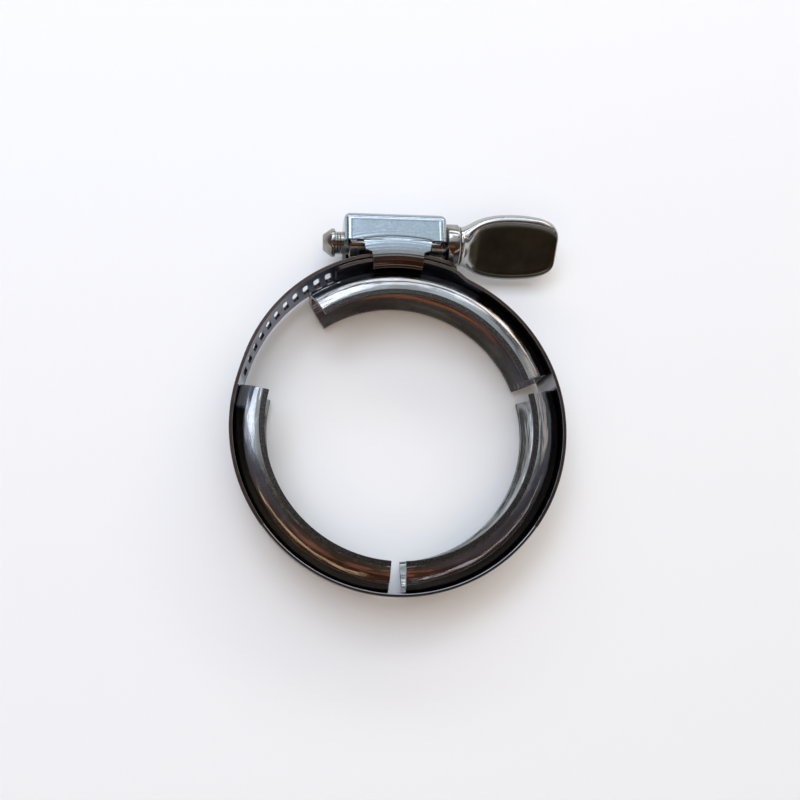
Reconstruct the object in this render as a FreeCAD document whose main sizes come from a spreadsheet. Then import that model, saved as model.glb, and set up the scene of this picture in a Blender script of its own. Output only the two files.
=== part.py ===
import FreeCAD, Part
import math
import os
import Sketcher
from FreeCAD import Placement, Rotation, Vector

# Worm-drive band clamp with three V-section shoes, for a sanitary pipe union.
# The ring's axis is Z and the worm screw lies along X at the top, so the clamp rests on its band's edge.
# The origin is the ring's centre, halfway across the band. Lengths are in millimetres, angles in degrees.

doc = FreeCAD.newDocument("band_clamp")
sheet = doc.addObject("Spreadsheet::Sheet", "sizes")

DRIVING_SIZES = [
    # ring and band
    ("crown_radius", 38.0),
    ("weld_seat", 0.03),
    ("band_width", 12.7),
    ("band_thickness", 0.8),
    ("flex_gap", 0.2),
    ("right_flex_angle", 15.8),
    ("bottom_flex_angle", 267.45),
    ("left_flex_angle", 165.5),
    # V-section shoes
    ("shoe_sheet", 1.2),
    ("shoe_depth", 7.0),
    ("lip_inset", 0.15),
    ("lip_flat", 1.25),
    ("leg_slope", 20.0),
    ("crown_bend", 2.0),
    ("shoe_end_gap", 3.2),
    ("upper_shoe_end", 123.8),
    ("left_shoe_end", 165.7),
    # slotted strip, an arc about a centre above the ring's own
    ("strip_centre_rise", 3.8),
    ("strip_tightening", 0.7),
    ("strip_tail_angle", 66.9),
    ("tail_corner", 3.0),
    ("slot_pitch", 3.175),
    ("slot_margin", 2.9),
    ("slot_along", 1.7),
    ("first_slot_angle", 77.3),
    ("last_slot_angle", 165.1),
    # fixed end of the band under the housing
    ("strip_play", 0.44),
    ("fixed_end_angle", 114.0),
    ("fixed_rise_angle", 63.0),
    ("fixed_rise_bend", 8.0),
    # worm screw
    ("worm_bite", 0.45),
    ("worm_radius", 4.95),
    ("worm_root_radius", 3.7),
    ("thread_tip", 0.7),
    ("thread_flank", 15.0),
    ("thread_sunk", 0.3),
    ("thread_turns", 4.6),
    ("neck_radius", 2.75),
    ("shank_radius", 3.0),
    ("journal_radius", 3.5),
    ("journal_length", 2.3),
    ("journal_chamfer", 0.2),
    ("shank_taper", 0.7),
    ("running_clearance", 0.08),
    ("bullet_radius", 3.45),
    ("bullet_tip_radius", 1.9),
    ("bullet_length", 3.0),
    ("bullet_land", 0.75),
    ("bullet_chamfer", 0.15),
    ("neck_length", 2.0),
    ("collar_radius", 5.3),
    ("collar_length", 3.6),
    ("collar_play", 0.4),
    ("collar_chamfer", 0.5),
    # housing
    ("housing_left", -12.7),
    ("housing_length", 24.7),
    ("housing_sheet", 0.9),
    ("side_clearance", 0.2),
    ("roof_clearance", 0.2),
    ("roof_radius", 22.0),
    ("roof_corner", 2.0),
    ("end_round", 1.2),
    ("side_drop", 1.9),
    ("strap_half_angle", 12.2),
    ("strap_slack", 0.05),
    ("strap_overlap", 1.0),
    ("tab_gap", 1.3),
    ("tab_slope", 1.5),
    ("clinch_bend", 0.95),
    ("clinch_drop", 1.1),
    # thumb key
    ("key_gap", 0.05),
    ("key_flange_radius", 5.0),
    ("key_flange_length", 1.0),
    ("key_flange_chamfer", 0.4),
    ("key_length", 25.5),
    ("key_half_height", 8.3),
    ("key_thickness", 3.6),
    ("key_dish", 0.6),
    ("key_rim", 1.9),
    ("key_edge_round", 1.1),
    ("key_neck_radius", 4.3),
    ("key_neck_length", 5.0),
    ("key_turn", 42.0),
]
# Sizes that follow from the driving ones, so that the fits stay when one of those changes
LINKED_SIZES = [
    ("lip_radius", "=crown_radius - shoe_depth"),
    ("lip_half_spread", "=band_width / 2 - lip_inset"),
    ("strip_radius", "=crown_radius - strip_tightening"),
    ("slot_across", "=band_width - 2 * slot_margin"),
    ("slot_run", "=(last_slot_angle - first_slot_angle) * pi / 180 * strip_radius"),
    ("slot_count", "=floor(slot_run / slot_pitch) + 1"),
    ("strip_top", "=strip_centre_rise + strip_radius + band_thickness / 2"),
    ("screw_height", "=strip_top + worm_radius - worm_bite"),
]
for row, (word, value) in enumerate(DRIVING_SIZES + LINKED_SIZES, start=1):
    sheet.set("A%d" % row, word)
    sheet.set("B%d" % row, str(value))
    sheet.setAlias("B%d" % row, word)
doc.recompute()

SIZE = {word: float(sheet.get(word)) for word, _ in DRIVING_SIZES + LINKED_SIZES}
TOUCH = 0.01
subparts = []


def polar(radius, angle, centre=(0.0, 0.0)):
    """The point at a radius and an angle in degrees about a centre, in the ring's plane."""
    turn = math.radians(angle)
    return Vector(centre[0] + radius * math.cos(turn), centre[1] + radius * math.sin(turn), 0)


def new_body(name):
    """A sub-part's body, whose label names its file."""
    body = doc.addObject("PartDesign::Body", name)
    body.Label = name
    subparts.append(body)
    return body


def new_sketch(body, name, plane, offset=None):
    """A sketch on one of the body's own origin planes, moved off it by an attachment offset."""
    sketch = body.newObject("Sketcher::SketchObject", name)
    datum = [f for f in body.Origin.OriginFeatures if f.Role == plane][0]
    sketch.AttachmentSupport = [(datum, "")]
    sketch.MapMode = "FlatFace"
    if offset is not None:
        sketch.AttachmentOffset = offset
    return sketch


def closed_outline(sketch, pieces):
    """Draws lines (start, end) and arcs (start, middle, end) that make a closed outline."""
    for piece in pieces:
        if len(piece) == 2:
            sketch.addGeometry(Part.LineSegment(piece[0], piece[1]), False)
        else:
            sketch.addGeometry(Part.Arc(piece[0], piece[1], piece[2]), False)


def polyline(points):
    """The lines of a closed polygon."""
    return [(points[i], points[(i + 1) % len(points)]) for i in range(len(points))]


def pad(body, sketch, length, midplane=False, reverse=False):
    """A pad whose length is an expression in the sheet's words."""
    feature = body.newObject("PartDesign::Pad", sketch.Name + "_pad")
    feature.Profile = sketch
    feature.Midplane = midplane
    feature.Reversed = reverse
    feature.setExpression("Length", length)
    return feature


def pocket(body, sketch, length, midplane=False, reverse=False):
    """A pocket whose depth is an expression in the sheet's words."""
    feature = body.newObject("PartDesign::Pocket", sketch.Name + "_pocket")
    feature.Profile = sketch
    feature.Midplane = midplane
    feature.Reversed = reverse
    feature.setExpression("Length", length)
    return feature


def revolve(body, sketch, angle, axis="V_Axis", midplane=False):
    """A revolution about one of the sketch's own axes, by an angle that is an expression."""
    feature = body.newObject("PartDesign::Revolution", sketch.Name + "_turn")
    feature.Profile = sketch
    feature.ReferenceAxis = (sketch, [axis])
    feature.Midplane = midplane
    feature.setExpression("Angle", angle)
    return feature


def turn_body(body, start_angle):
    """Turns a body about the ring's axis to its start angle, an expression in the sheet's words."""
    body.Placement = Placement(Vector(0, 0, 0), Rotation(Vector(0, 0, 1), 1))
    body.setExpression("Placement.Rotation.Angle", start_angle)


# Sizes that several pieces share, worked out from the driving ones
band_inner = SIZE["crown_radius"] + SIZE["weld_seat"]
band_mid = band_inner + SIZE["band_thickness"] / 2
half_band = SIZE["band_thickness"] / 2
strip_centre = (0.0, SIZE["strip_centre_rise"])
fixed_mid = SIZE["strip_radius"] - SIZE["band_thickness"] - SIZE["strip_play"]
fixed_inner = fixed_mid - half_band
slot_step = math.degrees(SIZE["slot_pitch"] / SIZE["strip_radius"])
housing_right = SIZE["housing_left"] + SIZE["housing_length"]
side_inner = SIZE["band_width"] / 2 + SIZE["side_clearance"]
side_outer = side_inner + SIZE["housing_sheet"]

MID = "sizes.crown_radius + sizes.weld_seat + sizes.band_thickness / 2"


TRIM = "(sizes.flex_gap / 2 / (%s) * 180 / pi)" % MID


def trim_angle():
    """The angle that half of a flex gap takes up along the ring's band."""
    return math.degrees(SIZE["flex_gap"] / 2 / band_mid)


def ring_strip(name, first, last):
    """A stretch of the band on the shoes' crowns between two flex lines, trimmed by half a gap at each."""
    body = new_body(name)
    sketch = new_sketch(body, name + "_section", "XZ_Plane")
    half = SIZE["band_width"] / 2
    outer = band_inner + SIZE["band_thickness"]
    corners = [(band_inner, -half), (outer, -half), (outer, half), (band_inner, half)]
    closed_outline(sketch, polyline([Vector(x, z, 0) for x, z in corners]))
    revolve(body, sketch, "(%s) - (%s) - 2 * %s" % (last, first, TRIM))
    turn_body(body, "(%s) + %s" % (first, TRIM))
    return body


# V-section shoe: one pressed sheet with a rounded crown and two legs that spread towards the pipe
def shoe(name, first, last):
    """A shoe between two angles, expressions in the sheet's words, turned from its V section."""
    body = new_body(name)
    sketch = new_sketch(body, name + "_section", "XZ_Plane")
    slope = math.radians(SIZE["leg_slope"])
    sheet_thick = SIZE["shoe_sheet"]
    crown = SIZE["crown_radius"]
    bend = SIZE["crown_bend"]
    bend_inner = bend - sheet_thick
    # the lip is ground flat on its side, and its edge lies on a cylinder about the ring's axis
    edge = SIZE["lip_radius"]
    flat = edge + SIZE["lip_flat"]
    # the leg's outer line runs through the flat's outer corner, and the bend is tangent to it and the crown
    rise = crown - bend - flat
    bend_z = SIZE["lip_half_spread"] - rise * math.tan(slope) - bend / math.cos(slope)
    centre = Vector(crown - bend, bend_z, 0)
    along = Vector(-math.cos(slope), math.sin(slope), 0)
    outward = Vector(math.sin(slope), math.cos(slope), 0)
    lip_outer = Vector(flat, SIZE["lip_half_spread"], 0)
    lip_corner = Vector(edge, SIZE["lip_half_spread"], 0)
    edge_width = sheet_thick / math.cos(slope) - SIZE["lip_flat"] * math.tan(slope)
    lip_inner = lip_corner - Vector(0, edge_width, 0)
    half_turn = math.radians((90 - SIZE["leg_slope"]) / 2)
    mid_dir = Vector(math.cos(half_turn), math.sin(half_turn), 0)

    def mirrored(point):
        return Vector(point.x, -point.y, 0)

    crown_end = centre + Vector(bend, 0, 0)
    leg_start = centre + outward * bend
    inner_leg = centre + outward * bend_inner
    inner_crown = centre + Vector(bend_inner, 0, 0)
    upper = [
        (crown_end, centre + mid_dir * bend, leg_start),
        (leg_start, lip_outer),
        (lip_outer, lip_corner),
        (lip_corner, lip_inner),
        (lip_inner, inner_leg),
        (inner_leg, centre + mid_dir * bend_inner, inner_crown),
    ]
    lower = [tuple(mirrored(p) for p in reversed(piece)) for piece in reversed(upper)]
    joins = [(inner_crown, mirrored(inner_crown)), (mirrored(crown_end), crown_end)]
    closed_outline(sketch, upper + [joins[0]] + lower + [joins[1]])
    revolve(body, sketch, "(%s) - (%s)" % (last, first))
    turn_body(body, first)
    return body


GAP_TURN = "(sizes.shoe_end_gap / 2 / sizes.lip_radius * 180 / pi)"
shoe(
    "upper_shoe", "sizes.right_flex_angle + %s" % GAP_TURN, "sizes.upper_shoe_end"
)
shoe(
    "lower_right_shoe",
    "sizes.bottom_flex_angle - 360 + %s" % GAP_TURN,
    "sizes.right_flex_angle - %s" % GAP_TURN,
)
shoe(
    "lower_left_shoe",
    "sizes.left_shoe_end",
    "sizes.bottom_flex_angle - %s" % GAP_TURN,
)

# The band: one strip of spring sheet, in four lengths that meet at its flex lines
ring_strip("band_middle_length", "sizes.bottom_flex_angle - 360", "sizes.right_flex_angle")
ring_strip("band_shoe_length", "sizes.left_flex_angle", "sizes.bottom_flex_angle")


def arc_run(centre, radius, first, last):
    """Start, middle and end of an arc about a centre, from one angle to another."""
    return tuple(polar(radius, a, centre) for a in (first, (first + last) / 2, last))


def strip_outline(runs):
    """The closed outline of a strip along arcs (centre, radius, first, last), which turn left or right."""
    outer, inner = [], []
    for centre, radius, first, last in runs:
        side = half_band if last > first else -half_band
        outer.append(arc_run(centre, radius + side, first, last))
        inner.append(arc_run(centre, radius - side, last, first))
    pieces = outer + [(outer[-1][-1], inner[-1][0])]
    pieces += list(reversed(inner)) + [(inner[0][-1], outer[0][0])]
    return pieces


def heading(start, end):
    """The direction from one point to another, as an angle in degrees."""
    return math.degrees(math.atan2(end.y - start.y, end.x - start.x))


# Fixed end: it leaves the upper shoe's crown in a double bend and rises over the housing's tabs
fixed_band = new_body("band_fixed_length")
rise_bend = SIZE["fixed_rise_bend"]
rise_start = SIZE["fixed_rise_angle"]
strip_middle = Vector(strip_centre[0], strip_centre[1], 0)
first_centre = polar(band_mid + rise_bend, rise_start)
reach = fixed_mid - rise_bend
away = (first_centre - strip_middle).Length
swing = math.acos((reach**2 + away**2 - (2 * rise_bend) ** 2) / (2 * reach * away))
second_angle = heading(strip_middle, first_centre) + math.degrees(swing)
second_centre = polar(reach, second_angle, strip_centre)
turn_over = heading(first_centre, second_centre)
fixed_runs = [
    ((0.0, 0.0), band_mid, SIZE["right_flex_angle"] + trim_angle(), rise_start),
    ((first_centre.x, first_centre.y), rise_bend, rise_start + 180, turn_over % 360),
    ((second_centre.x, second_centre.y), rise_bend, turn_over + 180, second_angle),
    (strip_centre, fixed_mid, second_angle, SIZE["fixed_end_angle"]),
]
sketch = new_sketch(fixed_band, "fixed_outline", "XY_Plane")
closed_outline(sketch, strip_outline(fixed_runs))
pad(fixed_band, sketch, "sizes.band_width", midplane=True)

# Slotted end: an arc about its own centre, so that it slides through the housing without bending
slotted_band = new_body("band_slotted_length")
turn = SIZE["first_slot_angle"] - 90
flex_dir = polar(1.0, SIZE["left_flex_angle"])
tighter = band_mid - SIZE["strip_radius"]
ease = (strip_middle.dot(strip_middle) - tighter**2) / (2 * (tighter - flex_dir.dot(strip_middle)))
ease_centre = flex_dir * -ease - strip_middle
ease_angle = heading(ease_centre, Vector(0, 0, 0))
ease_radius = band_mid + ease
ease_trim = math.degrees(SIZE["flex_gap"] / 2 / ease_radius)
local_ease = polar(ease_centre.Length, heading(Vector(0, 0, 0), ease_centre) - turn)
strip_runs = [
    ((0.0, 0.0), SIZE["strip_radius"], SIZE["strip_tail_angle"] - turn, ease_angle - turn),
    (
        (local_ease.x, local_ease.y),
        ease_radius,
        ease_angle - turn,
        SIZE["left_flex_angle"] - turn - ease_trim,
    ),
]
sketch = new_sketch(slotted_band, "strip_outline", "XY_Plane")
closed_outline(sketch, strip_outline(strip_runs))
pad(slotted_band, sketch, "sizes.band_width", midplane=True)
doc.recompute()


def edges_near(feature, test):
    """Names of a feature's edges that pass a test."""
    return ["Edge%d" % (i + 1) for i, edge in enumerate(feature.Shape.Edges) if test(edge)]


def fillet(body, base, test, radius):
    """A fillet on the edges of a feature that pass a test, with a radius that is an expression."""
    feature = body.newObject("PartDesign::Fillet", base.Name + "_round")
    feature.Base = (base, edges_near(base, test))
    feature.setExpression("Radius", radius)
    return feature


tail_outer = polar(SIZE["strip_radius"], SIZE["strip_tail_angle"] - turn)


def is_tail_corner(edge):
    """An edge through the strip's thickness at its tail end."""
    middle = edge.CenterOfMass
    flat = Vector(middle.x, middle.y, 0)
    at_tail = (flat - tail_outer).Length < half_band and edge.Length < 2 * SIZE["band_thickness"]
    return at_tail and abs(abs(middle.z) - SIZE["band_width"] / 2) < TOUCH


strip_pad = doc.getObject("strip_outline_pad")
fillet(slotted_band, strip_pad, is_tail_corner, "sizes.tail_corner")

# Slots lie along the worm's thread, one for each turn
sketch = new_sketch(slotted_band, "slot", "XZ_Plane")
lead_angle = math.atan(SIZE["slot_pitch"] / (2 * math.pi * SIZE["worm_radius"]))
slot_end = SIZE["slot_along"] / 2
straight = SIZE["slot_across"] / 2 - slot_end
long_dir = Vector(-math.sin(lead_angle), math.cos(lead_angle), 0)
side_dir = Vector(math.cos(lead_angle), math.sin(lead_angle), 0)
top, bottom = long_dir * straight, long_dir * -straight
closed_outline(
    sketch,
    [
        (top - side_dir * slot_end, top + long_dir * slot_end, top + side_dir * slot_end),
        (top + side_dir * slot_end, bottom + side_dir * slot_end),
        (
            bottom + side_dir * slot_end,
            bottom - long_dir * slot_end,
            bottom - side_dir * slot_end,
        ),
        (bottom - side_dir * slot_end, top - side_dir * slot_end),
    ],
)
slot = pocket(slotted_band, sketch, "sizes.strip_radius + sizes.band_thickness")
pattern = slotted_band.newObject("PartDesign::PolarPattern", "slots")
pattern.Originals = [slot]
pattern.Axis = (sketch, ["V_Axis"])
pattern.setExpression(
    "Angle", "sizes.slot_pitch / sizes.strip_radius * 180 / pi * (sizes.slot_count - 1)"
)
pattern.setExpression("Occurrences", "sizes.slot_count")
slotted_band.Tip = pattern
slotted_band.Placement = Placement(Vector(0, 0, 0), Rotation(Vector(0, 0, 1), 1))
slotted_band.setExpression("Placement.Base.y", "sizes.strip_centre_rise")
slotted_band.setExpression("Placement.Rotation.Angle", "sizes.first_slot_angle - 90")

# Housing: one drawn sheet with a domed roof, two sides, two end walls and side straps
# that curl under the band's fixed end
housing = new_body("housing")
screw_y = SIZE["screw_height"]
roof_inner = screw_y + SIZE["worm_radius"] + SIZE["roof_clearance"]
roof_apex = roof_inner + SIZE["housing_sheet"]
roof_middle = roof_apex - SIZE["roof_radius"]
side_foot = screw_y - SIZE["side_drop"]


def roof_outline(inset):
    """The arch over the worm, from one side's foot to the other, inset by part of the sheet."""
    roof = SIZE["roof_radius"] - inset
    corner = SIZE["roof_corner"] - inset
    side = side_outer - inset
    corner_z = side_outer - SIZE["roof_corner"]
    corner_y = roof_middle + math.sqrt((roof - corner) ** 2 - corner_z**2)
    lean = math.degrees(math.atan2(corner_z, corner_y - roof_middle))
    middle = (corner_y, corner_z)
    turn_in = arc_run(middle, corner, 90, lean)
    back = tuple(Vector(p.x, -p.y, 0) for p in reversed(turn_in))
    apex = Vector(roof_middle + roof, 0, 0)
    foot = Vector(side_foot, side, 0)
    low = Vector(side_foot, -side, 0)
    return [(foot, turn_in[0]), turn_in, (turn_in[-1], apex, back[0]), back, (back[-1], low)]


def reversed_run(pieces):
    """The same outline the other way round."""
    return [tuple(reversed(piece)) for piece in reversed(pieces)]


def along_x(distance):
    """The offset that moves a sketch on the YZ plane to a place along X."""
    return Placement(Vector(0, 0, distance), Rotation())


outer_arch = roof_outline(0.0)
inner_arch = roof_outline(SIZE["housing_sheet"])
sketch = new_sketch(housing, "arch_section", "YZ_Plane", along_x(SIZE["housing_left"]))
closed_outline(
    sketch,
    outer_arch
    + [(outer_arch[-1][-1], inner_arch[-1][-1])]
    + reversed_run(inner_arch)
    + [(inner_arch[0][0], outer_arch[0][0])],
)
pad(housing, sketch, "sizes.housing_length")


def end_wall(name, place, hole_radius):
    """An end wall with a notch that is open below, in which the screw runs."""
    wall = new_sketch(housing, name, "YZ_Plane", along_x(place))
    left = Vector(side_foot, hole_radius, 0)
    right = Vector(side_foot, -hole_radius, 0)
    notch = [
        (outer_arch[-1][-1], right),
        (right, Vector(screw_y, -hole_radius, 0)),
        (
            Vector(screw_y, -hole_radius, 0),
            Vector(screw_y + hole_radius, 0, 0),
            Vector(screw_y, hole_radius, 0),
        ),
        (Vector(screw_y, hole_radius, 0), left),
        (left, outer_arch[0][0]),
    ]
    closed_outline(wall, outer_arch + notch)
    return pad(housing, wall, "sizes.housing_sheet")


neck_hole = SIZE["neck_radius"] + SIZE["running_clearance"]
shank_hole = SIZE["shank_radius"] + SIZE["running_clearance"]
end_wall("left_end_wall", SIZE["housing_left"], neck_hole)
right_wall = end_wall("right_end_wall", housing_right - SIZE["housing_sheet"], shank_hole)
doc.recompute()


def is_end_edge(edge):
    """An outer edge of the arch at one of its ends, above the side's foot."""
    box = edge.BoundBox
    ends = (SIZE["housing_left"], housing_right)
    at_end = box.XLength < TOUCH and any(abs(box.XMin - x) < TOUCH for x in ends)
    return at_end and outer_side(edge)


def outer_side(edge):
    """True for an edge whose middle lies on the arch's outer face, above its feet."""
    middle = edge.valueAt((edge.FirstParameter + edge.LastParameter) / 2)
    corner_z = side_outer - SIZE["roof_corner"]
    corner_y = roof_middle + math.sqrt(
        (SIZE["roof_radius"] - SIZE["roof_corner"]) ** 2 - corner_z**2
    )
    on_side = abs(abs(middle.z) - side_outer) < TOUCH
    on_roof = abs(math.hypot(middle.y - roof_middle, middle.z) - SIZE["roof_radius"]) < TOUCH
    to_corner = math.hypot(middle.y - corner_y, abs(middle.z) - corner_z)
    on_corner = abs(to_corner - SIZE["roof_corner"]) < TOUCH and abs(middle.z) > corner_z
    return on_side or on_roof or on_corner


fillet(housing, right_wall, is_end_edge, "sizes.end_round")

# The straps follow the strip's arc, with a clinched bend and a tab under the band's fixed end
rise = SIZE["strip_centre_rise"]
tab_top = fixed_inner - SIZE["strap_slack"]
tab_low = tab_top - SIZE["housing_sheet"]
bend_in = SIZE["clinch_bend"]
bend_out = bend_in + SIZE["housing_sheet"]
clinch_z = side_inner - bend_in
clinch_low = tab_low - SIZE["clinch_drop"]
bend_r = clinch_low + bend_out
strap_top = side_foot - rise + SIZE["strap_overlap"]
tab_end = SIZE["tab_gap"] / 2
level_z = clinch_z - SIZE["tab_slope"]
sketch = new_sketch(
    housing, "strap_section", "YZ_Plane", Placement(Vector(rise, 0, 0), Rotation())
)
diagonal = math.sqrt(0.5)
strap = [
    (Vector(strap_top, side_outer, 0), Vector(bend_r, side_outer, 0)),
    (
        Vector(bend_r, side_outer, 0),
        Vector(bend_r - bend_out * diagonal, clinch_z + bend_out * diagonal, 0),
        Vector(clinch_low, clinch_z, 0),
    ),
    (Vector(clinch_low, clinch_z, 0), Vector(tab_low, level_z, 0)),
    (Vector(tab_low, level_z, 0), Vector(tab_low, tab_end, 0)),
    (Vector(tab_low, tab_end, 0), Vector(tab_top, tab_end, 0)),
    (Vector(tab_top, tab_end, 0), Vector(tab_top, level_z, 0)),
    (Vector(tab_top, level_z, 0), Vector(bend_r - bend_in, clinch_z, 0)),
    (
        Vector(bend_r - bend_in, clinch_z, 0),
        Vector(bend_r - bend_in * diagonal, clinch_z + bend_in * diagonal, 0),
        Vector(bend_r, side_inner, 0),
    ),
    (Vector(bend_r, side_inner, 0), Vector(strap_top, side_inner, 0)),
    (Vector(strap_top, side_inner, 0), Vector(strap_top, side_outer, 0)),
]
closed_outline(sketch, strap)
closed_outline(sketch, [tuple(Vector(p.x, -p.y, 0) for p in piece) for piece in strap])
revolve(housing, sketch, "2 * sizes.strap_half_angle", midplane=True)

# Worm screw: bullet tail, neck, journal, worm thread, shank and collar, turned from one bar
screw = new_body("worm_screw")
slot_x = -(SIZE["strip_radius"] + half_band) * math.sin(
    math.radians(SIZE["first_slot_angle"] + 3 * slot_step - 90)
)
thread_start = slot_x - 2 * SIZE["slot_pitch"]
thread_length = SIZE["thread_turns"] * SIZE["slot_pitch"]
neck_left = SIZE["housing_left"] - SIZE["neck_length"]
neck_right = SIZE["housing_left"] + SIZE["housing_sheet"] + SIZE["collar_play"]
journal_end = neck_right + SIZE["journal_length"]
core_end = thread_start + thread_length + SIZE["slot_pitch"] / 2
collar_left = housing_right + SIZE["collar_play"]
collar_right = collar_left + SIZE["collar_length"]
tip = neck_left - SIZE["bullet_length"]
land_end = neck_left - SIZE["bullet_chamfer"]
chamfer = SIZE["collar_chamfer"]
outline = [
    (tip, 0.0),
    (tip, SIZE["bullet_tip_radius"]),
    (land_end - SIZE["bullet_land"], SIZE["bullet_radius"]),
    (land_end, SIZE["bullet_radius"]),
    (neck_left, SIZE["neck_radius"]),
    (neck_right, SIZE["neck_radius"]),
    (neck_right + SIZE["journal_chamfer"], SIZE["journal_radius"]),
    (journal_end, SIZE["journal_radius"]),
    (journal_end, SIZE["worm_root_radius"]),
    (core_end, SIZE["worm_root_radius"]),
    (core_end + SIZE["shank_taper"], SIZE["shank_radius"]),
    (collar_left, SIZE["shank_radius"]),
    (collar_left, SIZE["collar_radius"] - chamfer),
    (collar_left + chamfer, SIZE["collar_radius"]),
    (collar_right - chamfer, SIZE["collar_radius"]),
    (collar_right, SIZE["collar_radius"] - chamfer),
    (collar_right, 0.0),
]
sketch = new_sketch(screw, "screw_profile", "XY_Plane")
closed_outline(sketch, polyline([Vector(x, y, 0) for x, y in outline]))
turned = revolve(screw, sketch, "360", axis="H_Axis")
screw.Placement = Placement(Vector(0, 0, 0), Rotation())
screw.setExpression("Placement.Base.y", "sizes.screw_height")
doc.recompute()

flank = math.tan(math.radians(SIZE["thread_flank"]))
sunk = SIZE["thread_sunk"]
thread_height = SIZE["worm_radius"] - SIZE["worm_root_radius"]
tip_half = SIZE["thread_tip"] / 2
root_half = tip_half + (thread_height + sunk) * flank
sketch = new_sketch(screw, "thread_profile", "XY_Plane")
thread_low = SIZE["worm_root_radius"] - sunk
corners = [
    (thread_start - root_half, -thread_low),
    (thread_start - tip_half, -SIZE["worm_radius"]),
    (thread_start + tip_half, -SIZE["worm_radius"]),
    (thread_start + root_half, -thread_low),
]
closed_outline(sketch, polyline([Vector(x, y, 0) for x, y in corners]))
thread = screw.newObject("PartDesign::AdditiveHelix", "worm_thread")
thread.Profile = sketch
thread.ReferenceAxis = (sketch, ["H_Axis"])
thread.Mode = 0
thread.setExpression("Pitch", "sizes.slot_pitch")
thread.setExpression("Height", "sizes.thread_turns * sizes.slot_pitch")
thread.LeftHanded = False
thread.Reversed = False

# Thumb key: a cast spade with a round rim and dished faces, on a short round socket against the collar
key = new_body("thumb_key")
key_left = collar_right + SIZE["key_gap"]
key_right = key_left + SIZE["key_length"]
flange_end = key_left + SIZE["key_flange_length"]
neck_end = flange_end + SIZE["key_neck_length"]
key.Placement = Placement(Vector(0, 0, 0), Rotation(Vector(1, 0, 0), 1))
key.setExpression("Placement.Base.y", "sizes.screw_height")
key.setExpression("Placement.Rotation.Angle", "sizes.key_turn")


def spade_curve(inset):
    """The spade's outline as one smooth closed curve: a narrow neck, full shoulders and a blunt nose."""
    half = SIZE["key_half_height"] - inset
    left = flange_end + 2 * inset
    span = key_right - inset - left
    # shares of the spade's length and of its half height, from the neck to the nose
    shares = [(0.03, 0.38), (0.17, 0.67), (0.4, 0.97), (0.62, 1.0), (0.82, 0.96), (0.95, 0.8)]
    upper = [Vector(left + along * span, up * half, 0) for along, up in shares]
    lower = [Vector(point.x, -point.y, 0) for point in reversed(upper)]
    curve = Part.BSplineCurve()
    nose = Vector(left + span, 0, 0)
    curve.interpolate(Points=[Vector(left, 0, 0)] + upper + [nose] + lower, PeriodicFlag=True)
    return curve


sketch = new_sketch(key, "spade_outline", "XY_Plane")
sketch.addGeometry(spade_curve(0.0), False)
spade = pad(key, sketch, "sizes.key_thickness", midplane=True)
doc.recompute()


def is_spade_rim(edge):
    """An edge round one of the spade's two faces."""
    return abs(abs(edge.CenterOfMass.z) - SIZE["key_thickness"] / 2) < TOUCH


fillet(key, spade, is_spade_rim, "sizes.key_edge_round")
face_level = SIZE["key_thickness"] / 2
for side, level in (("front", face_level), ("back", -face_level)):
    sketch = new_sketch(key, side + "_dish", "XY_Plane", Placement(Vector(0, 0, level), Rotation()))
    sketch.addGeometry(spade_curve(SIZE["key_rim"]), False)
    pocket(key, sketch, "sizes.key_dish", reverse=level < 0)
sketch = new_sketch(key, "socket_profile", "XY_Plane")
outline = [
    (key_left, 0.0),
    (key_left, SIZE["key_flange_radius"]),
    (flange_end, SIZE["key_flange_radius"]),
    (flange_end + SIZE["key_flange_chamfer"], SIZE["key_neck_radius"]),
    (neck_end, SIZE["key_thickness"] / 2 - SIZE["key_dish"]),
    (neck_end, 0.0),
]
closed_outline(sketch, polyline([Vector(x, y, 0) for x, y in outline]))
revolve(key, sketch, "360", axis="H_Axis")
doc.recompute()


# Every object has to be sound before anything is written
failed = [o.Name for o in doc.Objects if "Invalid" in o.State or "Error" in o.State]
if failed:
    raise RuntimeError("these objects failed: %s" % ", ".join(failed))
for body in subparts:
    shape = body.Shape
    if shape.isNull() or not shape.isValid() or len(shape.Solids) != 1:
        raise RuntimeError("%s isn't one valid solid" % body.Label)

os.makedirs("parts", exist_ok=True)
for body in subparts:
    body.Shape.exportStep("parts/%s.step" % body.Label)
    print("%-22s volume %9.2f mm3" % (body.Label, body.Shape.Volume))
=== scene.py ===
"""A worm-drive band clamp with three V-section shoes, for a sanitary pipe union, lying on a pale floor."""

import math

import bmesh
import bpy
from mathutils import Matrix, Vector


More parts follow.
